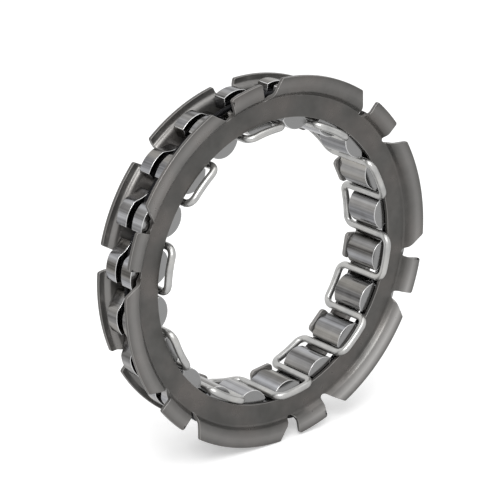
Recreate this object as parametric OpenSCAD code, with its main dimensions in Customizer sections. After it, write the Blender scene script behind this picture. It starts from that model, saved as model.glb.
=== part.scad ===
/* A full-complement sprag clutch insert, the one-way heart of a starter drive.
   Twenty sprags stand between two pressed steel end rings. A serpentine wire spring runs
   through the bore and a garter spring lies in the sprags' slots.
   The insert stands on its edge: the axis runs along Y, the front ring faces -Y, +Z is up.
   Every angle named phi runs clockwise from the top, seen from the front. */

/* [Races] */
// Diameter of the shaft race that the noses grip
inner_race_d = 57.76; // [57.4:0.02:58.2]
// Radial space for the sprags between the shaft race and the housing race
sprag_space = 8.33; // [8.2:0.01:8.5]

/* [Sprags] */
// How far a free nose stands in past the shaft race
nose_stand = 0.58; // [0.3:0.02:0.7]
// How far a free head stands out past the housing race
head_stand = 0.39; // [0.1:0.01:0.5]
// Number of sprags
sprag_count = 20; // [18:2:20]
// Angle of the first sprag
sprag_phi = 10.4; // [0:0.1:36]
// Length of a sprag along the axis
sprag_len = 8.4; // [7:0.1:11]
// Radius of the outer cam
head_cam_r = 6.5; // [6.2:0.05:6.8]
// Radius of the inner cam
nose_cam_r = 4.2; // [3.9:0.05:4.8]
// Offset of the outer cam's centre from the sprag's own radial line
head_offset = 1.2; // [0.9:0.05:1.4]
// Offset of the inner cam's centre to the other side
nose_offset = 0.35; // [0.1:0.05:0.5]
// Reach of the head on its steep side
head_reach_ccw = 4.2; // [3.9:0.05:4.4]
// Reach of the head on the side where its cam slopes down
head_reach_cw = 4.4; // [4.1:0.05:4.5]
// Room between a nose and the spring's legs beside it
nose_room = 0.39; // [0.3:0.01:0.8]
// Width of the waist
waist_w = 4.9; // [4.2:0.1:5.4]
// Radius of the hollow in each flank
flank_r = 2.1; // [1.9:0.05:2.3]
// Width of the slot for the garter spring
slot_w = 1.85; // [1.7:0.05:2.4]

/* [End rings] */
// Thickness of the sheet
sheet = 0.8; // [0.6:0.05:1]
// Play between a sprag's end and a ring's face
end_play = 0.18; // [0.12:0.02:0.4]
// Room between the shaft race and the hole in each face
hole_room = 2.32; // [2.2:0.02:3]
// Slope of a step's wall
step_angle = 60; // [50:1:70]
// Largest radius inside a bend
bend_r = 0.6; // [0.3:0.05:0.7]

/* [Front ring lugs] */
// Reach of the lugs past the housing race
front_lug_reach = 3.04; // [2.6:0.02:3.6]
// Height of the step from the face to the lugs
front_step = 1.6; // [1.4:0.1:2.4]
// How far inside the housing race the middle of the step lies
front_step_inset = 0.61; // [0.5:0.01:0.9]
// Number of short lugs, and of long lugs
lug_pairs = 6; // [5:1:6]
// Angle of the first short lug's centre
short_lug_phi = -13.25; // [-60:0.25:60]
// Angle that a short lug covers at its rim
short_lug_angle = 11.5; // [9:0.5:14]
// Radius of a notch's round bottom
notch_r = 1.1; // [0.8:0.05:1.4]
// How far inside the housing race the notch bottoms are centred
notch_inset = 0.31; // [0.1:0.01:0.8]
// Lean of a notch's side at the short lug
short_flare = 5; // [0:1:12]
// Lean of a notch's side at the long lug
long_flare = 40; // [25:1:45]
// Radius of a lug's corners
lug_corner_r = 0.5; // [0.3:0.1:0.9]

/* [Back ring lugs] */
// Reach of the lugs past the housing race
back_lug_reach = 0.94; // [0.9:0.02:1.8]
// Height of the step from the face to the lugs
back_step = 1.1; // [1.0:0.05:1.6]
// How far inside the housing race the middle of the step lies
back_step_inset = 1.01; // [0.8:0.01:1.3]
// Angle of the first notch
back_notch_phi = -8.3; // [-18:0.1:18]
// Radius of a notch's round bottom
back_notch_r = 2.2; // [1.6:0.1:2.6]
// How far inside the housing race the notch bottoms are centred
back_notch_inset = 0.61; // [0.4:0.01:0.9]
// Lean of a notch's sides
back_flare = 20; // [10:1:30]
// How far the tabs that catch the noses reach in past the shaft race
tab_reach = 0.88; // [0.5:0.02:1.1]
// Width of a tab
tab_w = 5.7; // [4.6:0.1:6]
// Radius of a tab's corners
tab_corner_r = 1; // [0.6:0.1:1.4]

/* [Serpentine spring] */
// Diameter of the wire
wire_d = 1.6; // [1.4:0.05:1.7]
// How far outside the shaft race the cross links run
link_reach = 1.02; // [0.9:0.02:1.2]
// Bend radius of the wire, on its centre line
wire_bend_r = 1.9; // [1.5:0.1:2.2]
// Room between a cross link and a ring's face
link_gap = 0.65; // [0.4:0.05:0.9]

/* [Garter spring] */
// Outside diameter of the coil
garter_coil_d = 1.3; // [1.1:0.05:1.4]
// Depth of the coil's centre line below the tops of the free heads
garter_depth = 2.5; // [2.3:0.05:2.6]
// Room under the coil in a slot
garter_gap = 0.65; // [0.5:0.05:0.8]

/* [Hidden] */
$fn = 96;
eps = 0.01;
past = 2;
// How far a corner round pokes through the two edges that it blends
crossing = 0.02;
// Each bend of the wire is this much slimmer than the straights that lap its ends
seam = 0.01;
seam_lap = 0.05;
// Least rise left for the straight wall of a step
wall_rise = 0.05;
// How far the waist lies below the middle of a sprag
waist_drop = 0.9;

pitch_angle = 360 / sprag_count;
shaft_r = inner_race_d / 2;
race_r = shaft_r + sprag_space;
hole_r = shaft_r + hole_room;
link_r = shaft_r + link_reach;
leg_r = norm([link_r, wire_bend_r]);
head_top_r = race_r + head_stand;
nose_tip_r = shaft_r - nose_stand;
nose_w = 2 * (leg_r * sin(pitch_angle / 2) - wire_d / 2 - nose_room);
// Both cams' centres, with the outer one as the sprag's pivot
head_centre = [across(head_top_r - head_cam_r, head_offset), head_offset];
nose_centre = [across(nose_tip_r + nose_cam_r, nose_offset), -nose_offset];
waist_r = (head_top_r + nose_tip_r) / 2 - waist_drop;
garter_r = head_top_r - garter_depth;
slot_floor_r = garter_r - garter_coil_d / 2 - garter_gap;

face_in = sprag_len / 2 + end_play;
face_out = face_in + sheet;
link_u = face_out + link_gap + wire_d / 2;

SPRAGS = [for (k = [1 : sprag_count]) str("sprag_", k < 10 ? "0" : "", k)];

ring_steel = [0.37, 0.365, 0.35];
sprag_steel = [0.62, 0.62, 0.63];
wire_steel = [0.78, 0.78, 0.77];
coil_steel = [0.2, 0.2, 0.21];

// Distance along the radial line of a point at radius r that lies off to its side
function across(r, off) = sqrt(r * r - off * off);

// Turns a child built along the local X axis out to an angle phi
module at(phi) {
    rotate([0, 0, 90 - phi]) children();
}

// Lays the ring's own axis along Y with its front towards -Y
module stand() {
    rotate([90, 0, 0]) children();
}

// A bend of the sheet about its own centre, from angle turn over the slope of the step
module bend(inner, turn) {
    reach = (inner + sheet + eps) / cos(step_angle / 2);
    intersection() {
        difference() {
            circle(r = inner + sheet);
            circle(r = inner);
        }
        rotate([0, 0, turn])
            polygon([[0, 0], [reach, 0], reach * [cos(step_angle), sin(step_angle)]]);
    }
}

// Section of an end ring: face, step and flange, with radius along X and the axis along Y
module z_section(step, step_r, lug_r) {
    mid = min(bend_r + sheet / 2, (step - wall_rise) / (2 * (1 - cos(step_angle))));
    inner = mid - sheet / 2;
    wall = (step - 2 * mid * (1 - cos(step_angle))) / sin(step_angle);
    run = 2 * mid * sin(step_angle) + wall * cos(step_angle);
    foot = step_r - run / 2;
    head = step_r + run / 2;
    translate([hole_r, face_in]) square([foot - hole_r + eps, sheet]);
    translate([foot, face_out + inner]) {
        bend(inner, -90);
        rotate([0, 0, step_angle]) translate([-eps, -inner - sheet]) square([wall + 2 * eps, sheet]);
    }
    translate([head, face_in + step - inner]) bend(inner, 90);
    translate([head - eps, face_in + step]) square([lug_r - head + eps, sheet]);
}

// Centre of a corner round of radius corner that just crosses a notch side and the lug's rim
function corner_centre(flare, bottom_r, centre_r, lug_r, corner) =
    let (h = bottom_r + corner - crossing - centre_r * sin(flare),
         s = across(lug_r - corner + crossing, h))
    [s * cos(flare) - h * sin(flare), s * sin(flare) + h * cos(flare)];

// Half of a notch on the +Y side of its own radial line: one leaning side and a round corner
module half_notch(flare, bottom_r, centre_r, lug_r) {
    c = corner_centre(flare, bottom_r, centre_r, lug_r, lug_corner_r);
    n = [-sin(flare), cos(flare)];
    start = [centre_r, 0] + bottom_r * n;
    foot = c - (lug_corner_r - crossing) * n;
    rim = c * (lug_r + past) / norm(c);
    difference() {
        polygon([[centre_r, -eps], start, foot, c, rim, [norm(rim), -eps]]);
        translate(c) circle(r = lug_corner_r, $fn = 48);
    }
}

// A notch with its round bottom, and a lean of its own on each side
module notch(flare_ccw, flare_cw, bottom_r, centre_r, lug_r) {
    linear_extrude(height = 2 * (face_out + front_step + past), center = true) {
        translate([centre_r, 0]) circle(r = bottom_r, $fn = 48);
        half_notch(flare_ccw, bottom_r, centre_r, lug_r);
        mirror([0, 1]) half_notch(flare_cw, bottom_r, centre_r, lug_r);
    }
}

module front_ring() {
    lug_r = race_r + front_lug_reach;
    centre_r = race_r - notch_inset;
    half_rim = notch_r / cos(short_flare) + (lug_r - centre_r) * tan(short_flare);
    notch_off = short_lug_angle / 2 + asin(half_rim / lug_r);
    color(ring_steel) stand() difference() {
        rotate_extrude() z_section(front_step, race_r - front_step_inset, lug_r);
        for (k = [0 : lug_pairs - 1]) at(short_lug_phi + k * 360 / lug_pairs) {
            rotate([0, 0, -notch_off]) notch(short_flare, long_flare, notch_r, centre_r, lug_r);
            rotate([0, 0, notch_off]) notch(long_flare, short_flare, notch_r, centre_r, lug_r);
        }
    }
}

// A tab that reaches in from the face, with round corners at its tip
module tab() {
    tip = shaft_r - tab_reach;
    half = tab_w / 2 - tab_corner_r;
    root = hole_r + sheet;
    translate([0, 0, face_in]) linear_extrude(height = sheet) {
        translate([tip + tab_corner_r, -tab_w / 2]) square([root - tip - tab_corner_r, tab_w]);
        translate([tip, -half]) square([root - tip, 2 * half]);
        for (side = [-1, 1]) translate([tip + tab_corner_r, side * half])
            circle(r = tab_corner_r, $fn = 48);
    }
}

module back_ring() {
    lug_r = race_r + back_lug_reach;
    centre_r = race_r - back_notch_inset;
    notches = sprag_count / 2;
    color(ring_steel) stand() mirror([0, 0, 1]) difference() {
        union() {
            rotate_extrude() z_section(back_step, race_r - back_step_inset, lug_r);
            for (k = [0 : notches - 1]) at(sprag_phi + (2 * k + 1) * pitch_angle) tab();
        }
        for (k = [0 : notches - 1]) at(back_notch_phi + 2 * k * pitch_angle)
            notch(back_flare, back_flare, back_notch_r, centre_r, lug_r);
    }
}

// One bend of the wire, from a cross link at angle turn into the leg beside it
module wire_corner(turn, side) {
    rotate([0, 0, turn]) translate([link_r, 0, link_u - wire_bend_r])
        mirror([0, side < 0 ? 1 : 0, 0]) rotate([90, 0, 90])
            rotate_extrude(angle = 90, $fn = 24)
                translate([wire_bend_r, 0]) circle(d = wire_d - 2 * seam, $fn = 20);
}

// A cross link with its two bends, centred on the local X axis
module cross_link() {
    half = pitch_angle / 2 - atan(wire_bend_r / link_r);
    lap = half + atan(seam_lap / link_r);
    rotate([0, 0, -lap]) rotate_extrude(angle = 2 * lap, $fn = 48)
        translate([link_r, link_u]) circle(d = wire_d, $fn = 20);
    wire_corner(half, 1);
    wire_corner(-half, -1);
}

module serpentine_spring() {
    leg_len = 2 * (link_u - wire_bend_r + seam_lap);
    color(wire_steel) stand() for (k = [0 : sprag_count - 1]) at(sprag_phi + k * pitch_angle) {
        mirror([0, 0, k % 2 == 0 ? 1 : 0]) cross_link();
        rotate([0, 0, pitch_angle / 2]) translate([leg_r, 0, -leg_len / 2])
            cylinder(d = wire_d, h = leg_len, $fn = 20);
    }
}

module garter_spring() {
    color(coil_steel) stand() rotate_extrude()
        translate([garter_r, 0]) circle(d = garter_coil_d, $fn = 32);
}

// Outline of a sprag: two cams on offset centres, with a hollow in each flank
module sprag_outline() {
    difference() {
        union() {
            intersection() {
                translate(head_centre) circle(r = head_cam_r);
                translate([waist_r, -head_reach_cw])
                    square([head_cam_r + past, head_reach_cw + head_reach_ccw]);
            }
            intersection() {
                translate(nose_centre) circle(r = nose_cam_r);
                translate([waist_r - nose_cam_r, -nose_w / 2]) square([nose_cam_r + eps, nose_w]);
            }
        }
        for (side = [-1, 1]) translate([waist_r, side * (waist_w / 2 + flank_r)])
            circle(r = flank_r);
    }
}

module sprag(k) {
    color(sprag_steel) stand() at(sprag_phi + (k - 1) * pitch_angle) difference() {
        linear_extrude(height = sprag_len, center = true) sprag_outline();
        translate([slot_floor_r, -head_reach_cw - past, -slot_w / 2])
            cube([head_top_r - slot_floor_r + past, head_reach_cw + head_reach_ccw + 2 * past, slot_w]);
    }
}

front_ring();
back_ring();
serpentine_spring();
garter_spring();
for (k = [1 : sprag_count]) sprag(k);
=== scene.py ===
"""Looks of a sprag clutch insert: two end rings, twenty sprags, a serpentine spring and a garter spring."""
import logging
import math
from collections.abc import Callable
from dataclasses import dataclass
from enum import Enum
from typing import ClassVar

import bmesh
import bpy
from bmesh.types import BMEdge, BMesh, BMVert
from mathutils import Matrix, Vector


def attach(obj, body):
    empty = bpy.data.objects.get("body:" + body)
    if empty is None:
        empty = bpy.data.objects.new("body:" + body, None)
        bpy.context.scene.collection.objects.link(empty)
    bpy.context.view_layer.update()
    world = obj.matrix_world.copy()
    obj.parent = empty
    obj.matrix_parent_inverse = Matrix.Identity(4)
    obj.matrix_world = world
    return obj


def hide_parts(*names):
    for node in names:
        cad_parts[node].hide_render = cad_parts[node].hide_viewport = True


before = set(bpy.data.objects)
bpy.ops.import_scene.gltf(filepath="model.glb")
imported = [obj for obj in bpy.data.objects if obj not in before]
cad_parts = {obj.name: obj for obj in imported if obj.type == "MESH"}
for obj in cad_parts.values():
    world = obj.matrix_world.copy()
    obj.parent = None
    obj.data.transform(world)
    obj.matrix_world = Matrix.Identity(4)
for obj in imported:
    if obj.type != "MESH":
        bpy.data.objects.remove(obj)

log = logging.getLogger("clutch_insert")
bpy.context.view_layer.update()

Outline = list[Vector]

MM = 0.001
# The CAD body that holds the rings and the springs.
CAGE = "cage"
# Attributes that a mesh gives its material, from 0 to 1: edges painted lighter, partly for handling marks and
# partly as a painted highlight, and faces given one even tone, which on the rings is painted light and shade.
RUBBED_AND_HIGHLIT = "rubbed_and_highlit_edge"
EVEN_TONE_AND_PAINTED_LIGHT = "even_tone_and_painted_light"
# Edges that turn by more than this are rounded.
SHARP = math.radians(35)
# Sockets of the Mix node, whose names repeat.
MIX_FACTOR, MIX_A, MIX_B, MIX_COLOUR_A, MIX_COLOUR_B = 0, 2, 3, 6, 7
MIX_VALUE, MIX_COLOUR = 0, 2


class Slot(Enum):
    """The record's material slots."""

    RING = "ring_steel"
    SPRAG = "sprag_steel"
    WIRE = "wire_steel"
    COIL = "coil_steel"


def linear(hex_colour: str) -> tuple[float, float, float, float]:
    """Turns an sRGB hex colour into Blender's linear colour.

    Args:
        hex_colour: Six hex digits after a hash.

    Returns:
        Red, green and blue in linear light, and an alpha of 1.
    """
    parts = [int(hex_colour[i : i + 2], 16) / 255 for i in (1, 3, 5)]
    red, green, blue = (c / 12.92 if c <= 0.04045 else ((c + 0.055) / 1.055) ** 2.4 for c in parts)
    return (red, green, blue, 1.0)


def add(tree: bpy.types.NodeTree, kind: str, links: dict | None = None, **settings: object) -> bpy.types.Node:
    """Adds a shader node.

    Args:
        tree: The node tree.
        kind: The node's type name.
        links: Sockets or plain values for the node's inputs, by name or number.
        settings: The node's own properties.

    Returns:
        The new node.
    """
    node = tree.nodes.new(kind)
    for key, value in settings.items():
        setattr(node, key, value)
    for key, value in (links or {}).items():
        if isinstance(value, bpy.types.NodeSocket):
            tree.links.new(value, node.inputs[key])
        else:
            node.inputs[key].default_value = value
    return node


@dataclass(frozen=True)
class SteelFinish:
    """Steel whose colour drifts in soft clouds, with fine lines, which on the sprags are painted reflections,
    and edges painted lighter with a highlight.

    Attributes:
        name: What the steel is and how its surface was made.
        dark: Its darkest colour.
        light: Its lightest colour.
        tint: What the lightest colour turns to in places.
        edge_wear_and_highlight: Colour of the edges, lighter partly from handling and partly as a painted
            highlight.
        even_tone_and_painted_light: Colour of the faces with one even tone: the sprags' end faces, and the
            painted light on the rings' lugs and tabs.
        metal: Metallic value.
        roughness: Middle of the roughness.
        rough_spread: How far the roughness strays from its middle.
        cloud_mm: Size of a cloud.
        line_mm: Width of a broad line.
        fine_mm: Width of a fine line or a grain.
        line_share: How much the lines count beside the clouds.
        line_depth_mm: Depth of the fine lines.
        edge_highlight_share: How strongly the edges are painted lighter, for handling marks and a painted
            highlight.
        stretch: Scale of the lines along each axis, far under 1 along their own.
    """

    name: str
    dark: str
    light: str
    tint: str
    edge_wear_and_highlight: str
    even_tone_and_painted_light: str
    metal: float
    roughness: float
    rough_spread: float
    cloud_mm: float
    line_mm: float
    fine_mm: float
    line_share: float
    line_depth_mm: float
    edge_highlight_share: float
    stretch: tuple[float, float, float] = (1.0, 1.0, 1.0)

    noise_roughness: ClassVar[float] = 0.55
    noise_range: ClassVar[tuple[float, float]] = (0.32, 0.68)
    cloud_detail: ClassVar[float] = 3.0
    line_detail: ClassVar[float] = 1.0
    tint_detail: ClassVar[float] = 0.0
    fine_share: ClassVar[float] = 0.25

    def noise(self, tree: bpy.types.NodeTree, place: bpy.types.NodeSocket, size_mm: float,
              detail: float) -> bpy.types.NodeSocket:
        """Adds noise of a real size, spread out to run from 0 to 1.

        Args:
            tree: The material's node tree.
            place: Where the noise is read.
            size_mm: Size of one patch or line.
            detail: How many finer layers the noise has.

        Returns:
            The socket with the spread value.
        """
        raw = add(tree, "ShaderNodeTexNoise", {
            "Vector": place, "Scale": 1 / (size_mm * MM), "Detail": detail, "Roughness": self.noise_roughness,
        }).outputs["Fac"]
        low, high = self.noise_range
        spread = add(tree, "ShaderNodeMapRange", {"Value": raw, "From Min": low, "From Max": high})
        return spread.outputs["Result"]

    def material(self) -> bpy.types.Material:
        """Builds the node material on Object coordinates.

        Returns:
            The material.
        """
        made = bpy.data.materials.new(self.name)
        made.use_nodes = True
        tree = made.node_tree
        tree.nodes.clear()
        place = add(tree, "ShaderNodeTexCoord").outputs["Object"]
        along = add(tree, "ShaderNodeMapping", {"Vector": place, "Scale": self.stretch}).outputs["Vector"]
        cloud = self.noise(tree, place, self.cloud_mm, self.cloud_detail)
        fine = self.noise(tree, along, self.fine_mm, self.line_detail)
        broad = self.noise(tree, along, self.line_mm, self.line_detail)
        lines = add(tree, "ShaderNodeMix", {
            MIX_FACTOR: self.fine_share, MIX_A: broad, MIX_B: fine,
        }).outputs[MIX_VALUE]
        # The colour follows the clouds and the lines together: uneven phosphate on the rings, and painted
        # reflections in light and dark streaks on the sprags.
        tone = add(tree, "ShaderNodeMix", {
            MIX_FACTOR: self.line_share, MIX_A: cloud, MIX_B: lines,
        }).outputs[MIX_VALUE]
        # Tempering tints drift along the lay.
        drift = self.noise(tree, along, self.cloud_mm, self.tint_detail)
        bright = add(tree, "ShaderNodeMix", {
            MIX_FACTOR: drift, MIX_COLOUR_A: linear(self.light), MIX_COLOUR_B: linear(self.tint),
        }, data_type="RGBA").outputs[MIX_COLOUR]
        base = add(tree, "ShaderNodeMix", {
            MIX_FACTOR: tone, MIX_COLOUR_A: linear(self.dark), MIX_COLOUR_B: bright,
        }, data_type="RGBA").outputs[MIX_COLOUR]
        # The sprags' ground end faces have one even tone; on the rings the same mix paints light onto the
        # lugs and tabs, with less of it on one lug as painted shade.
        even = add(tree, "ShaderNodeAttribute", attribute_name=EVEN_TONE_AND_PAINTED_LIGHT).outputs["Fac"]
        base = add(tree, "ShaderNodeMix", {
            MIX_FACTOR: even, MIX_COLOUR_A: base, MIX_COLOUR_B: linear(self.even_tone_and_painted_light),
        }, data_type="RGBA").outputs[MIX_COLOUR]
        # Edges show as thin lighter lines, partly from rubbing by hands and tumbling and partly as a painted
        # highlight where the rounds catch the light.
        edge = add(tree, "ShaderNodeAttribute", attribute_name=RUBBED_AND_HIGHLIT).outputs["Fac"]
        edge_wear_and_highlight_share = add(tree, "ShaderNodeMath", {0: edge, 1: self.edge_highlight_share}, operation="MULTIPLY").outputs[0]
        colour = add(tree, "ShaderNodeMix", {
            MIX_FACTOR: edge_wear_and_highlight_share, MIX_COLOUR_A: base, MIX_COLOUR_B: linear(self.edge_wear_and_highlight),
        }, data_type="RGBA").outputs[MIX_COLOUR]
        # Lighter places are smoother.
        gloss = add(tree, "ShaderNodeMapRange", {
            "Value": tone,
            "To Min": self.roughness + self.rough_spread,
            "To Max": self.roughness - self.rough_spread,
        }).outputs["Result"]
        bump = add(tree, "ShaderNodeBump", {
            "Height": fine, "Distance": self.line_depth_mm * MM,
        }).outputs["Normal"]
        shader = add(tree, "ShaderNodeBsdfPrincipled", {
            "Base Color": colour, "Metallic": self.metal, "Roughness": gloss, "Normal": bump,
        }).outputs["BSDF"]
        add(tree, "ShaderNodeOutputMaterial", {"Surface": shader})
        return made


FINISHES = {
    # Pressed sheet under a thin phosphate coat: dark and satin, with soft clouds and a fine grain. The coat
    # hides part of the metal, so the metallic value is below 1.
    Slot.RING: SteelFinish(
        name="phosphated spring steel sheet",
        # On the rings the even-tone colour is painted light: a highlight band on the lugs, and lighter tabs.
        dark="#4a4947", light="#5f5e5c", tint="#635f5c", edge_wear_and_highlight="#9c9a98", even_tone_and_painted_light="#b8b6b4",
        metal=0.6, roughness=0.3, rough_spread=0.05,
        cloud_mm=7.0, line_mm=2.5, fine_mm=0.4, line_share=0.25, line_depth_mm=0.002, edge_highlight_share=0.6,
    ),
    # Hardened steel ground along its cams, with painted reflections: light and dark streaks along the sprag
    # stand in for what the curved cams reflect, and the near-white edge colour is a painted highlight.
    # Real grinding lines are a few hundredths wide; these streaks are far coarser.
    Slot.SPRAG: SteelFinish(
        name="ground bearing steel",
        dark="#2b2927", light="#babbbf", tint="#adaaa5", edge_wear_and_highlight="#e4e4e4", even_tone_and_painted_light="#8f8f8f",
        metal=1.0, roughness=0.19, rough_spread=0.05,
        cloud_mm=3.0, line_mm=2.2, fine_mm=0.45, line_share=0.9, line_depth_mm=0.001, edge_highlight_share=0.8,
        stretch=(1.0, 0.02, 1.0),
    ),
    # Wire drawn bright through a die: pale and smooth, with one soft highlight along it.
    Slot.WIRE: SteelFinish(
        name="bright drawn spring wire",
        dark="#acacab", light="#c8c8c6", tint="#c1c0bd", edge_wear_and_highlight="#d8d8d6", even_tone_and_painted_light="#c8c8c6",
        metal=1.0, roughness=0.33, rough_spread=0.03,
        cloud_mm=4.0, line_mm=2.0, fine_mm=0.8, line_share=0.15, line_depth_mm=0.0005, edge_highlight_share=0.0,
    ),
    # Thin coiled wire under oil, deep between the sprags: nearly black, partly its own oiled colour and
    # partly painted shade standing in for the dark of the deep slots, with a faint gleam on each turn.
    Slot.COIL: SteelFinish(
        name="oiled spring wire in painted shade",
        dark="#1b1b1d", light="#2b2b2e", tint="#2b2b2e", edge_wear_and_highlight="#505054", even_tone_and_painted_light="#2b2b2e",
        metal=0.8, roughness=0.4, rough_spread=0.05,
        cloud_mm=3.0, line_mm=1.0, fine_mm=0.3, line_share=0.3, line_depth_mm=0.001, edge_highlight_share=0.0,
    ),
}
MATERIALS = {slot: finish.material() for slot, finish in FINISHES.items()}


def polar(radius: float, phi: float, forward: float) -> Vector:
    """Returns the point at a radius, an angle clockwise from the top, and a place towards the front."""
    return Vector((radius * math.sin(phi), -forward, radius * math.cos(phi)))


def arc(centre: tuple[float, float], radius: float, start: float, end: float, steps: int) -> Outline:
    """Returns points along an arc in a plane, with angles in degrees and both ends included."""
    turns = [math.radians(start + (end - start) * i / steps) for i in range(steps + 1)]
    return [Vector((centre[0] + radius * math.cos(t), centre[1] + radius * math.sin(t))) for t in turns]


def closed(points: Outline) -> Outline:
    """Drops the points that repeat the one before them."""
    return [p for i, p in enumerate(points) if (p - points[i - 1]).length > 1e-4 * MM]


def new_object(bm: BMesh, name: str) -> bpy.types.Object:
    """Puts a finished bmesh into the scene.

    Args:
        bm: The mesh, which is freed.
        name: The object's name.

    Returns:
        The object.
    """
    mesh = bpy.data.meshes.new(name)
    bm.to_mesh(mesh)
    bm.free()
    made = bpy.data.objects.new(name, mesh)
    bpy.context.scene.collection.objects.link(made)
    return made


def publish(bm: BMesh, name: str, slot: Slot, node: str, body: str = CAGE) -> None:
    """Makes a piece of a finished bmesh, dresses it and puts it in the place of its CAD node.

    Args:
        bm: The mesh, which is freed.
        name: The piece's name.
        slot: The material slot it takes its finish from.
        node: The CAD node it stands for.
        body: The CAD body it rides on.
    """
    piece = new_object(bm, name)
    piece.data.shade_smooth()
    piece.data.materials.append(MATERIALS[slot])
    normals = piece.modifiers.new("weighted normals", "WEIGHTED_NORMAL")
    normals.keep_sharp = True
    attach(piece, body)
    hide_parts(node)
    log.info("%s: %d faces", name, len(piece.data.polygons))


def bevel_sharp(bm: BMesh, width: float) -> None:
    """Rounds every sharp edge, and marks the rounds to be painted lighter, partly as handling marks and
    partly as a painted highlight.

    Args:
        bm: The mesh.
        width: How far a round reaches into the faces beside it.
    """
    rub_and_highlight = bm.faces.layers.float.new(RUBBED_AND_HIGHLIT)
    sharp = [e for e in bm.edges if e.is_manifold and e.calc_face_angle() > SHARP]
    rounds = bmesh.ops.bevel(bm, geom=sharp, offset=width, offset_type="OFFSET", affect="EDGES", segments=2,
                             profile=0.5, material=-1, clamp_overlap=False)["faces"]
    for face in rounds:
        face[rub_and_highlight] = 1.0


def add_prism(bm: BMesh, outline: Outline, start: float, depth: float, phi: float) -> None:
    """Adds a prism along the ring's axis.

    Args:
        bm: The mesh.
        outline: The prism's section, with X outward and Y round the ring.
        start: Where it starts along the axis, towards the back.
        depth: Its length from there towards the back.
        phi: Its angle clockwise from the top.
    """
    face = bm.faces.new([bm.verts.new((p.x, start, p.y)) for p in outline])
    grown = bmesh.ops.extrude_face_region(bm, geom=[face])["geom"]
    moved = [v for v in grown if isinstance(v, BMVert)]
    bmesh.ops.translate(bm, verts=moved, vec=(0, depth, 0))
    bmesh.ops.rotate(bm, verts=list(face.verts) + moved, cent=(0, 0, 0),
                     matrix=Matrix.Rotation(phi - math.pi / 2, 3, "Y"))


@dataclass(frozen=True)
class Sizes:
    """Sizes that several pieces share, in metres and radians.

    Attributes:
        sprag_count: How many sprags there are.
        sprag_phi: Angle of the first sprag, clockwise from the top.
        face_in: From the middle plane to the inner side of each ring's flat face.
        sheet: Thickness of the rings' sheet.
        hole_r: Radius of the rings' hole.
    """

    sprag_count: int = 20
    sprag_phi: float = math.radians(10.4)
    face_in: float = 4.38 * MM
    sheet: float = 0.8 * MM
    hole_r: float = 31.2 * MM

    @property
    def pitch(self) -> float:
        """Angle from one sprag to the next."""
        return 2 * math.pi / self.sprag_count


SIZES = Sizes()


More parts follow.
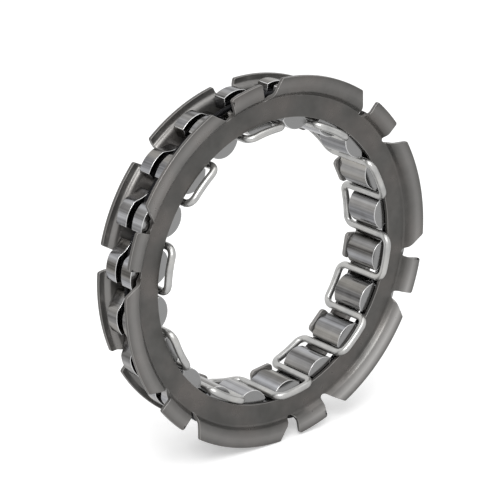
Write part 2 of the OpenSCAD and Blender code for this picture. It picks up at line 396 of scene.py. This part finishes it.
@dataclass
class EndRing:
    """A pressed end ring: a flat face, a step and a flange cut into lugs.

    Attributes:
        node: The ring's CAD node.
        step: Height of the step.
        step_r: Radius at the middle of the step.
        lug_r: Radius of the lugs' rim.
        notch_centre_r: Radius at the centre of a notch's round bottom.
        side: 1 for the front ring and -1 for the back ring.
        slope: Slope of the step's wall, in degrees.
        bend_r: Inner radius of the two bends.
        corner_r: Radius of the lugs' corners.
        rounding: Width of the rounds on the punched edges.
        highlight_in: From the rim to the middle of the painted highlight band on the lugs.
        highlight_run: How far the painted highlight fades out on each side of that.
        highlight_share: How strong the painted highlight on the lugs is.
        lug_light_and_shade: Angles at which lugs get extra painted highlight, each with how much; a share
            below 0 gives painted shade.
        light_shift_in: How far inward the strongest extra painted highlight sits.
        light_fall: How fast the extra painted light and shade fall off round the ring.
        spin_steps: Segments round the ring.
        bend_steps: Segments in a bend.
        flange_steps: Segments across the flange, which carry the burnish.
        bottom_steps: Segments in half a notch's bottom.
        corner_steps: Segments in a corner.
        past: How far the cutting solids go past the rim.
        reach: How far they go past the middle plane on each side.
        merge: Distance within which points left by the cuts are merged.
    """

    node: str
    step: float
    step_r: float
    lug_r: float
    notch_centre_r: float
    side: int
    slope: float = 60.0
    bend_r: float = 0.6 * MM
    corner_r: float = 0.5 * MM
    rounding: float = 0.09 * MM
    highlight_in: float = 1.65 * MM
    highlight_run: float = 2.0 * MM
    highlight_share: float = 0.3
    lug_light_and_shade: tuple[tuple[float, float], ...] = ()
    light_shift_in: float = 0.7 * MM
    light_fall: float = 6.5
    spin_steps: int = 360
    bend_steps: int = 5
    flange_steps: int = 4
    bottom_steps: int = 8
    corner_steps: int = 6
    past: float = 2 * MM
    reach: float = 12 * MM
    merge: float = 0.002 * MM

    def section(self) -> Outline:
        """Draws the section of the sheet.

        Returns:
            A closed outline, with X outward and Y away from the middle plane.
        """
        sheet, low, high = SIZES.sheet, SIZES.face_in, SIZES.face_in + self.step
        lean = math.radians(self.slope)
        mid = self.bend_r + sheet / 2
        wall = (self.step - 2 * mid * (1 - math.cos(lean))) / math.sin(lean)
        run = 2 * mid * math.sin(lean) + wall * math.cos(lean)
        foot = (self.step_r - run / 2, low + sheet + self.bend_r)
        head = (self.step_r + run / 2, high - self.bend_r)
        inner, outer, steps = self.bend_r, self.bend_r + sheet, self.bend_steps
        across = (self.lug_r - head[0]) / self.flange_steps
        flange = [head[0] + across * i for i in range(1, self.flange_steps)]
        return closed(
            [Vector((SIZES.hole_r, low))]
            + arc(foot, outer, -90, self.slope - 90, steps)
            + arc(head, inner, self.slope + 90, 90, steps)
            + [Vector((r, high)) for r in flange]
            + [Vector((self.lug_r, high)), Vector((self.lug_r, high + sheet))]
            + [Vector((r, high + sheet)) for r in reversed(flange)]
            + arc(head, outer, 90, self.slope + 90, steps)
            + arc(foot, inner, self.slope - 90, -90, steps)
            + [Vector((SIZES.hole_r, low + sheet))]
        )

    def blank(self) -> BMesh:
        """Spins the section into the whole ring, before its notches are cut.

        Returns:
            The ring's mesh.
        """
        bm = bmesh.new()
        verts = [bm.verts.new((p.x, -self.side * p.y, 0)) for p in self.section()]
        edges = [bm.edges.new((verts[i - 1], v)) for i, v in enumerate(verts)]
        bmesh.ops.spin(bm, geom=verts + edges, cent=(0, 0, 0), axis=(0, 1, 0), angle=2 * math.pi,
                       steps=self.spin_steps, use_merge=True)
        bmesh.ops.recalc_face_normals(bm, faces=bm.faces)
        return bm

    def half_notch(self, flare: float, bottom_r: float) -> Outline:
        """Draws one side of a notch, from the middle of its bottom out past the rim.

        Args:
            flare: Lean of the side from the radial line, in degrees.
            bottom_r: Radius of the round bottom.

        Returns:
            An open outline, with X outward and Y counter-clockwise.
        """
        lean = math.radians(flare)
        across = bottom_r + self.corner_r - self.notch_centre_r * math.sin(lean)
        along = math.sqrt((self.lug_r - self.corner_r) ** 2 - across**2)
        out, aside = Vector((math.cos(lean), math.sin(lean))), Vector((-math.sin(lean), math.cos(lean)))
        centre = along * out + across * aside
        rim = math.degrees(math.atan2(centre.y, centre.x))
        return (
            arc((self.notch_centre_r, 0), bottom_r, 180, 90 + flare, self.bottom_steps)
            + arc(tuple(centre), self.corner_r, flare - 90, rim, self.corner_steps)
            + [centre.normalized() * (self.lug_r + self.past)]
        )

    def cut_notch(self, bm: BMesh, phi: float, bottom_r: float, ccw: float, cw: float) -> None:
        """Adds the solid that cuts a notch.

        Args:
            bm: The mesh of the cutting solids.
            phi: The notch's angle clockwise from the top.
            bottom_r: Radius of its round bottom.
            ccw: Lean of its counter-clockwise side, in degrees.
            cw: Lean of its clockwise side, in degrees.
        """
        mirrored = [Vector((p.x, -p.y)) for p in self.half_notch(cw, bottom_r)]
        outline = self.half_notch(ccw, bottom_r) + mirrored[:0:-1]
        add_prism(bm, outline, -self.reach, 2 * self.reach, phi)

    def cutters(self, bm: BMesh) -> None:
        """Adds every cutting solid. Each ring has its own."""
        raise NotImplementedError

    def tabs(self, bm: BMesh) -> None:
        """Adds the solids that are joined on. The front ring has none."""

    def even_tone_and_painted_light(self, radius: float, phi: float) -> float:
        """Says how much painted light a place gets: a painted highlight band across the lugs, brighter on one
        lug and painted darker on another.

        Args:
            radius: The place's radius.
            phi: Its angle clockwise from the top.

        Returns:
            A share from 0 to 1.
        """
        extra_light = sum(share * max(math.cos(phi - at), 0.0) ** self.light_fall for at, share in self.lug_light_and_shade)
        middle = self.lug_r - self.highlight_in - self.light_shift_in * max(extra_light, 0.0)
        return max(1.0 - abs(radius - middle) / self.highlight_run, 0.0) * (self.highlight_share + extra_light)

    def tool(self, fill: Callable[[BMesh], None]) -> bpy.types.Object | None:
        """Makes a cutting or joining object.

        Args:
            fill: The method that adds its solids.

        Returns:
            The object, or nothing where there are no solids.
        """
        bm = bmesh.new()
        fill(bm)
        bmesh.ops.recalc_face_normals(bm, faces=bm.faces)
        return new_object(bm, "tool") if bm.faces else None

    def build(self) -> None:
        """Cuts the notches, joins the tabs, rounds the punched edges and puts the ring in place."""
        blank = new_object(self.blank(), "blank")
        spares = [blank]
        for fill, operation in ((self.cutters, "DIFFERENCE"), (self.tabs, "UNION")):
            tool = self.tool(fill)
            if tool:
                spares.append(tool)
                cut = blank.modifiers.new("cut", "BOOLEAN")
                cut.object, cut.operation, cut.solver, cut.use_self = tool, operation, "EXACT", True
        bpy.context.view_layer.update()
        bm = bmesh.new()
        bm.from_object(blank, bpy.context.evaluated_depsgraph_get())
        for spare in spares:
            bpy.data.objects.remove(spare)
        bmesh.ops.remove_doubles(bm, verts=bm.verts, dist=self.merge)
        bevel_sharp(bm, self.rounding)
        # Each vertex gets its share of painted light: a highlight band on the lugs, more on one lug, painted
        # shade on another, and lighter tabs.
        even = bm.verts.layers.float.new(EVEN_TONE_AND_PAINTED_LIGHT)
        for vert in bm.verts:
            vert[even] = self.even_tone_and_painted_light(math.hypot(vert.co.x, vert.co.z), math.atan2(vert.co.x, vert.co.z))
        publish(bm, self.node + "_steel", Slot.RING, self.node)


@dataclass
class FrontRing(EndRing):
    """The front ring: six long lugs and six short ones.

    Attributes:
        pairs: How many pairs of a long and a short lug there are.
        short_phi: Angle of the first short lug, clockwise from the top.
        short_angle: Angle that a short lug spans at its rim.
        notch_r: Radius of the notches' round bottoms.
        short_flare: Lean of a short lug's sides, in degrees.
        long_flare: Lean of a long lug's sides, in degrees.
    """

    node: str = "front_ring"
    step: float = 1.6 * MM
    step_r: float = 36.6 * MM
    lug_r: float = 40.25 * MM
    notch_centre_r: float = 36.9 * MM
    side: int = 1
    # A painted highlight on the lower right lug, and painted shade on the lug near the top.
    lug_light_and_shade: tuple[tuple[float, float], ...] = ((math.radians(137), 0.7), (math.radians(17), -0.15))
    pairs: int = 6
    short_phi: float = math.radians(-13.25)
    short_angle: float = math.radians(11.5)
    notch_r: float = 1.1 * MM
    short_flare: float = 5.0
    long_flare: float = 40.0

    def cutters(self, bm: BMesh) -> None:
        """Adds two notches, one on each side of each short lug."""
        lean = math.radians(self.short_flare)
        half_rim = self.notch_r / math.cos(lean) + (self.lug_r - self.notch_centre_r) * math.tan(lean)
        off = self.short_angle / 2 + math.asin(half_rim / self.lug_r)
        for k in range(self.pairs):
            phi = self.short_phi + 2 * math.pi * k / self.pairs
            self.cut_notch(bm, phi + off, self.notch_r, self.short_flare, self.long_flare)
            self.cut_notch(bm, phi - off, self.notch_r, self.long_flare, self.short_flare)


@dataclass
class BackRing(EndRing):
    """The back ring: ten equal lugs, and ten tabs that reach in over the noses.

    Attributes:
        notch_phi: Angle of the first notch, clockwise from the top.
        notch_r: Radius of the notches' round bottoms.
        flare: Lean of the lugs' sides, in degrees.
        tab_r: Radius at the tabs' tips.
        tab_width: Width of a tab.
        tab_corner: Radius of its corners.
        tab_light_share: How much painted light the tabs get, lifting them out of their shade.
    """

    node: str = "back_ring"
    step: float = 1.1 * MM
    step_r: float = 36.2 * MM
    lug_r: float = 38.15 * MM
    notch_centre_r: float = 36.6 * MM
    side: int = -1
    notch_phi: float = math.radians(-8.3)
    notch_r: float = 2.2 * MM
    flare: float = 20.0
    tab_r: float = 28.0 * MM
    tab_width: float = 5.7 * MM
    tab_corner: float = 1.0 * MM
    tab_light_share: float = 0.45

    def even_tone_and_painted_light(self, radius: float, phi: float) -> float:
        """Says how much painted light a place gets, with the tabs painted evenly lighter apart from the rest.
        """
        return self.tab_light_share if radius < SIZES.hole_r - self.rounding else super().even_tone_and_painted_light(radius, phi)

    def cutters(self, bm: BMesh) -> None:
        """Adds a notch at every other sprag."""
        for k in range(SIZES.sprag_count // 2):
            self.cut_notch(bm, self.notch_phi + 2 * k * SIZES.pitch, self.notch_r, self.flare, self.flare)

    def tabs(self, bm: BMesh) -> None:
        """Adds a tab with round corners at every other sprag."""
        tip, half, corner = self.tab_r, self.tab_width / 2, self.tab_corner
        root = SIZES.hole_r + SIZES.sheet
        outline = closed(
            [Vector((root, -half))]
            + arc((tip + corner, -half + corner), corner, 270, 180, self.corner_steps)
            + arc((tip + corner, half - corner), corner, 180, 90, self.corner_steps)
            + [Vector((root, half))]
        )
        for k in range(SIZES.sprag_count // 2):
            add_prism(bm, outline, SIZES.face_in, SIZES.sheet, SIZES.sprag_phi + (2 * k + 1) * SIZES.pitch)


@dataclass
class SerpentineSpring:
    """One closed wire that runs between the noses and links round their ends, front and back in turn.

    Attributes:
        wire_r: Radius of the wire.
        link_r: Radius at which the links lie.
        link_u: From the middle plane to the links, front and back.
        bend_r: Radius of the bends between legs and links.
        sides: Sides of the wire's section.
        bend_steps: Segments in a bend.
        link_steps: Segments in a link.
        merge: Distance within which the wire's two ends are merged.
    """

    wire_r: float = 0.8 * MM
    link_r: float = 29.9 * MM
    link_u: float = 6.63 * MM
    bend_r: float = 1.9 * MM
    sides: int = 20
    bend_steps: int = 10
    link_steps: int = 6
    merge: float = 0.01 * MM

    def build(self) -> None:
        """Sweeps a circle along legs, bends and links with extrudes and spins."""
        turn = math.atan(self.bend_r / self.link_r)
        leg_r = math.hypot(self.link_r, self.bend_r)
        leg_half = self.link_u - self.bend_r
        first = SIZES.sprag_phi - SIZES.pitch / 2
        bm = bmesh.new()
        start = Matrix.Translation(polar(leg_r, first, leg_half)) @ Matrix.Rotation(math.pi / 2, 4, "X")
        bmesh.ops.create_circle(bm, segments=self.sides, radius=self.wire_r, matrix=start)
        tip = list(bm.edges)
        for k in range(SIZES.sprag_count):
            end = -1 if k % 2 == 0 else 1
            phi = first + k * SIZES.pitch
            near, far = phi + turn, phi + SIZES.pitch - turn
            tip = self.leg(bm, tip, Vector((0, -end * 2 * leg_half, 0)))
            tip = self.turned(bm, tip, polar(self.link_r, near, end * leg_half), polar(1, near, 0),
                              end * math.pi / 2, self.bend_steps)
            tip = self.turned(bm, tip, Vector(), Vector((0, 1, 0)), far - near, self.link_steps)
            tip = self.turned(bm, tip, polar(self.link_r, far, end * leg_half), polar(1, far, 0),
                              end * math.pi / 2, self.bend_steps)
        bmesh.ops.remove_doubles(bm, verts=bm.verts, dist=self.merge)
        bmesh.ops.recalc_face_normals(bm, faces=bm.faces)
        publish(bm, "serpentine_wire", Slot.WIRE, "serpentine_spring")

    def leg(self, bm: BMesh, tip: list[BMEdge], along: Vector) -> list[BMEdge]:
        """Extrudes the wire's end straight along.

        Args:
            bm: The wire's mesh.
            tip: Edges at the wire's end.
            along: How far, and in which direction.

        Returns:
            The edges at the new end.
        """
        made = bmesh.ops.extrude_edge_only(bm, edges=tip)["geom"]
        bmesh.ops.translate(bm, verts=[g for g in made if isinstance(g, BMVert)], vec=along)
        return [g for g in made if isinstance(g, BMEdge) and all(v in made for v in g.verts)]

    def turned(self, bm: BMesh, tip: list[BMEdge], centre: Vector, axis: Vector, angle: float,
               steps: int) -> list[BMEdge]:
        """Spins the wire's end about an axis.

        Args:
            bm: The wire's mesh.
            tip: Edges at the wire's end.
            centre: A point on the axis.
            axis: The axis's direction.
            angle: How far it turns.
            steps: Segments on the way.

        Returns:
            The edges at the new end.
        """
        made = bmesh.ops.spin(bm, geom=tip, cent=centre, axis=axis, angle=angle, steps=steps)["geom_last"]
        return [g for g in made if isinstance(g, BMEdge)]


@dataclass
class GarterSpring:
    """A coil spring closed on itself, in the slots of the sprags.

    Attributes:
        ring_r: Radius of the ring that the coil follows.
        coil_r: Outer radius of the coil.
        wire_r: Radius of its wire.
        turns: How many turns it has.
        points: Points in one turn.
        wire_detail: How many points are added to the wire's round section.
    """

    ring_r: float = 35.1 * MM
    coil_r: float = 0.65 * MM
    wire_r: float = 0.15 * MM
    turns: int = 640
    points: int = 12
    wire_detail: int = 1

    def build(self) -> None:
        """Bends a helix into a ring and gives it the wire's thickness."""
        curve = bpy.data.curves.new("garter_coil", "CURVE")
        curve.dimensions = "3D"
        curve.bevel_depth = self.wire_r
        curve.bevel_resolution = self.wire_detail
        count = self.turns * self.points
        spline = curve.splines.new("POLY")
        spline.points.add(count - 1)
        spline.use_cyclic_u = True
        radius = self.coil_r - self.wire_r
        for i, point in enumerate(spline.points):
            turn = 2 * math.pi * i / self.points
            phi = 2 * math.pi * i / count
            point.co = (*polar(self.ring_r + radius * math.cos(turn), phi, radius * math.sin(turn)), 1)
        coil = bpy.data.objects.new("garter_coil", curve)
        bpy.context.scene.collection.objects.link(coil)
        bpy.context.view_layer.update()
        swept = bpy.data.meshes.new_from_object(coil.evaluated_get(bpy.context.evaluated_depsgraph_get()))
        bm = bmesh.new()
        bm.from_mesh(swept)
        bpy.data.objects.remove(coil)
        publish(bm, "garter_wire", Slot.COIL, "garter_spring")


@dataclass
class Sprags:
    """The twenty sprags, with their ground edges rounded.

    A place on a sprag is given outward along its own radius, and aside from that, counter-clockwise.

    Attributes:
        rounding: Width of the rounds on the edges.
        flat: Faces that turn by less than this are joined.
        end_y: From the middle plane to just inside the end faces.
        cam_r: Radius of the outer cam.
        cam_centre: Centre of the outer cam, outward and aside.
        hollow_r: Radius of the hollow in the head's sloping flank.
        hollow_centre: Centre of that hollow, outward and aside.
        hollow_start: Where the hollow starts, aside.
        merge: Distance within which the solid's loose triangles are merged.
        near: How near a point lies to the cam if it is on it.
    """

    rounding: float = 0.12 * MM
    flat: float = math.radians(1)
    end_y: float = 4.19 * MM
    cam_r: float = 6.5 * MM
    cam_centre: tuple[float, float] = (31.077 * MM, 1.2 * MM)
    hollow_r: float = 7.9 * MM
    hollow_centre: tuple[float, float] = (41.48 * MM, -7.91 * MM)
    hollow_start: float = -1.4 * MM
    merge: float = 0.001 * MM
    near: float = 0.01 * MM

    def build(self) -> None:
        """Takes a copy of each sprag's solid, joins its flat faces and rounds its edges."""
        for k in range(SIZES.sprag_count):
            node = f"sprag_{k + 1:02d}"
            bm = bmesh.new()
            bm.from_mesh(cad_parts[node].data)
            bmesh.ops.remove_doubles(bm, verts=bm.verts, dist=self.merge)
            bmesh.ops.dissolve_limit(bm, angle_limit=self.flat, verts=bm.verts, edges=bm.edges)
            self.hollow(bm, SIZES.sprag_phi + k * SIZES.pitch)
            bevel_sharp(bm, self.rounding)
            even = bm.faces.layers.float.new(EVEN_TONE_AND_PAINTED_LIGHT)
            for face in bm.faces:
                face[even] = 1.0 if abs(face.calc_center_median().y) > self.end_y else 0.0
            publish(bm, node + "_steel", Slot.SPRAG, node, body=node)

    def hollow(self, bm: BMesh, phi: float) -> None:
        """Grinds a shallow hollow into the sloping flank of a head.

        Args:
            bm: The sprag's mesh.
            phi: The sprag's angle clockwise from the top.
        """
        out, aside = polar(1, phi, 0), polar(1, phi - math.pi / 2, 0)
        for vert in bm.verts:
            radial, along = vert.co.dot(out), vert.co.dot(aside)
            to_cam = math.hypot(radial - self.cam_centre[0], along - self.cam_centre[1]) - self.cam_r
            if along < self.hollow_start and radial > self.cam_centre[0] and abs(to_cam) < self.near:
                drop = math.sqrt(self.hollow_r**2 - (along - self.hollow_centre[1]) ** 2)
                vert.co += out * min(self.hollow_centre[0] - drop - radial, 0.0)


@dataclass(frozen=True)
class Lamp:
    """A soft square lamp that faces the object.

    Attributes:
        name: Its name.
        azimuth: Its angle round the object from the front, to the right, in degrees.
        elevation: Its angle above the object, in degrees.
        away: Its distance in metres.
        size: Its width in metres.
        power: Its power in watts.
    """

    name: str
    azimuth: float
    elevation: float
    away: float
    size: float
    power: float


@dataclass
class Studio:
    """The floor, the soft lamps, the white background and the camera.

    Attributes:
        azimuth: The camera's angle round the object from the front, to the right, in degrees.
        elevation: Its angle above the object, in degrees.
        distance: Its distance in metres.
        lens_mm: Its focal length.
        sensor_mm: Width of its sensor.
        shift: Its shift across and up.
        clip: The nearest and farthest distance that it sees.
        floor_z: Height of the floor, just under the lugs.
        floor_half: Half the floor's width.
        paper: Colour of the floor.
        paper_glow: How much the floor glows for the camera alone.
        world_light: Strength of the light that comes from everywhere.
        world_seen: Strength of the background that the camera and the metal see, where 1 is white.
        lamps: The lamps.
    """

    azimuth: float = -39.49
    elevation: float = 20.0
    distance: float = 514.56 * MM
    lens_mm: float = 176.02
    sensor_mm: float = 36.0
    shift: tuple[float, float] = (-0.0228, 0.0123)
    clip: tuple[float, float] = (10 * MM, 10.0)
    floor_z: float = -40.4 * MM
    floor_half: float = 2.0
    paper: str = "#f4f4f4"
    paper_glow: float = 0.35
    world_light: float = 0.7
    world_seen: float = 1.0
    lamps: tuple[Lamp, ...] = (Lamp("key", -42, 44, 0.6, 0.3, 1.5), Lamp("top", 20, 78, 0.6, 0.4, 0.65))

    def build(self) -> None:
        """Makes everything that isn't part of the object."""
        bpy.context.scene.view_settings.view_transform = "Standard"
        self.camera()
        self.floor()
        self.world()
        for lamp in self.lamps:
            self.light(lamp)

    def place(self, name: str, data: bpy.types.ID, azimuth: float, elevation: float,
              away: float) -> bpy.types.Object:
        """Places a camera or a lamp so that it faces the object.

        Args:
            name: The object's name.
            data: The camera or lamp itself.
            azimuth: Its angle round the object, in degrees.
            elevation: Its angle above the object, in degrees.
            away: Its distance.

        Returns:
            The placed object.
        """
        around, above = math.radians(azimuth), math.radians(elevation)
        flat = math.cos(above)
        towards = Vector((math.sin(around) * flat, -math.cos(around) * flat, math.sin(above)))
        placed = bpy.data.objects.new(name, data)
        placed.location = towards * away
        placed.rotation_euler = (-towards).to_track_quat("-Z", "Y").to_euler()
        bpy.context.scene.collection.objects.link(placed)
        return placed

    def camera(self) -> None:
        """Places the camera at the photograph's angle."""
        data = bpy.data.cameras.new("camera")
        data.lens = self.lens_mm
        data.sensor_width = self.sensor_mm
        data.shift_x, data.shift_y = self.shift
        data.clip_start, data.clip_end = self.clip
        bpy.context.scene.camera = self.place("camera", data, self.azimuth, self.elevation, self.distance)

    def floor(self) -> None:
        """Makes the floor of matt white paper, which spreads light evenly and keeps the object's shadow."""
        bm = bmesh.new()
        bmesh.ops.create_grid(bm, x_segments=1, y_segments=1, size=self.floor_half,
                              matrix=Matrix.Translation((0, 0, self.floor_z)))
        floor = new_object(bm, "floor")
        made = bpy.data.materials.new("white paper sweep")
        made.use_nodes = True
        tree = made.node_tree
        tree.nodes.clear()
        paper = add(tree, "ShaderNodeBsdfDiffuse", {"Color": linear(self.paper)}).outputs[0]
        # The camera sees the paper blown out to white round the object's shadow, as in a light tent.
        seen = add(tree, "ShaderNodeLightPath").outputs["Is Camera Ray"]
        strength = add(tree, "ShaderNodeMath", {0: seen, 1: self.paper_glow}, operation="MULTIPLY").outputs[0]
        glow = add(tree, "ShaderNodeEmission", {"Color": linear("#ffffff"), "Strength": strength}).outputs[0]
        both = add(tree, "ShaderNodeAddShader", {0: paper, 1: glow}).outputs[0]
        add(tree, "ShaderNodeOutputMaterial", {"Surface": both})
        floor.data.materials.append(made)

    def world(self) -> None:
        """Sets the white background and the soft light that comes from everywhere."""
        world = bpy.data.worlds.new("studio")
        bpy.context.scene.world = world
        world.use_nodes = True
        tree = world.node_tree
        tree.nodes.clear()
        path = add(tree, "ShaderNodeLightPath").outputs
        seen = path["Is Camera Ray"]
        for ray in ("Is Glossy Ray", "Is Transmission Ray"):
            seen = add(tree, "ShaderNodeMath", {0: seen, 1: path[ray]}, operation="MAXIMUM").outputs[0]
        strength = add(tree, "ShaderNodeMapRange", {
            "Value": seen, "To Min": self.world_light, "To Max": self.world_seen,
        }).outputs[0]
        back = add(tree, "ShaderNodeBackground", {"Color": linear("#ffffff"), "Strength": strength})
        add(tree, "ShaderNodeOutputWorld", {"Surface": back.outputs[0]})

    def light(self, lamp: Lamp) -> None:
        """Adds a lamp.

        Args:
            lamp: What it is and where it stands.
        """
        data = bpy.data.lights.new(lamp.name, "AREA")
        data.size = lamp.size
        data.energy = lamp.power
        self.place(lamp.name, data, lamp.azimuth, lamp.elevation, lamp.away)


def main() -> None:
    """Builds and dresses the insert, then the studio."""
    logging.basicConfig(level=logging.INFO, format="%(name)s %(message)s")
    for part in (FrontRing(), BackRing(), SerpentineSpring(), GarterSpring(), Sprags(), Studio()):
        part.build()


if __name__ == "__main__":
    main()
